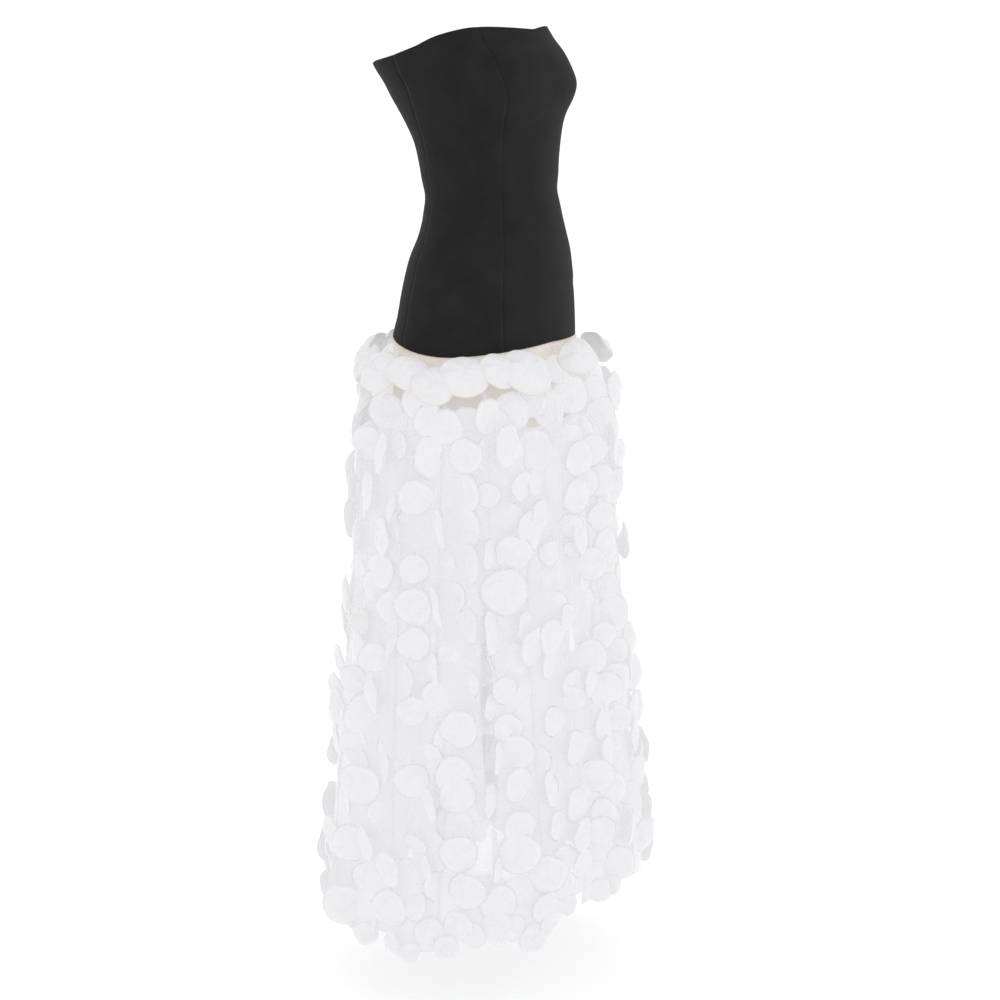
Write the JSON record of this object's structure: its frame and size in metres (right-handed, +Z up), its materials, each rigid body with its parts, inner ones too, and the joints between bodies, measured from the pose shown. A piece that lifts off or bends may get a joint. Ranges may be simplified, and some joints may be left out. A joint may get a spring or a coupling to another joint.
{
  "type": "strapless maxi dress",
  "caption": "Strapless maxi dress: fitted black princess-seamed bodice down to the hip over a long, hollow white skirt of sheer strips covered in puffed organza discs.",
  "frame": {"origin": "centre of the waist, at the narrowest girth of the bodice, where the wearer holds the dress up", "axes": "+Z up along the dress, -Y towards the front, -X towards the wearer's right side"},
  "size_m": [0.5336, 0.4604, 1.3339],
  "materials": {
    "bodice_crepe": "matte, close crepe",
    "nude_lining": "smooth matte lining",
    "skirt_organza": "soft translucent organza discs on sheer net"
  },
  "bodies": {
    "root": {"bodice_centre_front": "bodice_crepe", "bodice_side_front_right": "bodice_crepe", "bodice_side_front_left": "bodice_crepe", "bodice_back_right": "bodice_crepe", "bodice_back_left": "bodice_crepe", "hip_lining_front": "nude_lining", "hip_lining_back": "nude_lining", "skirt_strip_01": "skirt_organza", "skirt_strip_02": "skirt_organza", "skirt_strip_03": "skirt_organza", "skirt_strip_04": "skirt_organza", "skirt_strip_05": "skirt_organza", "skirt_strip_06": "skirt_organza", "skirt_strip_07": "skirt_organza", "skirt_strip_08": "skirt_organza", "skirt_strip_09": "skirt_organza", "skirt_strip_10": "skirt_organza", "skirt_strip_11": "skirt_organza", "skirt_strip_12": "skirt_organza", "skirt_strip_13": "skirt_organza", "skirt_strip_14": "skirt_organza", "skirt_strip_15": "skirt_organza", "skirt_strip_16": "skirt_organza", "skirt_strip_17": "skirt_organza", "skirt_strip_18": "skirt_organza", "skirt_strip_19": "skirt_organza", "skirt_strip_20": "skirt_organza"}
  },
  "joints": []
}
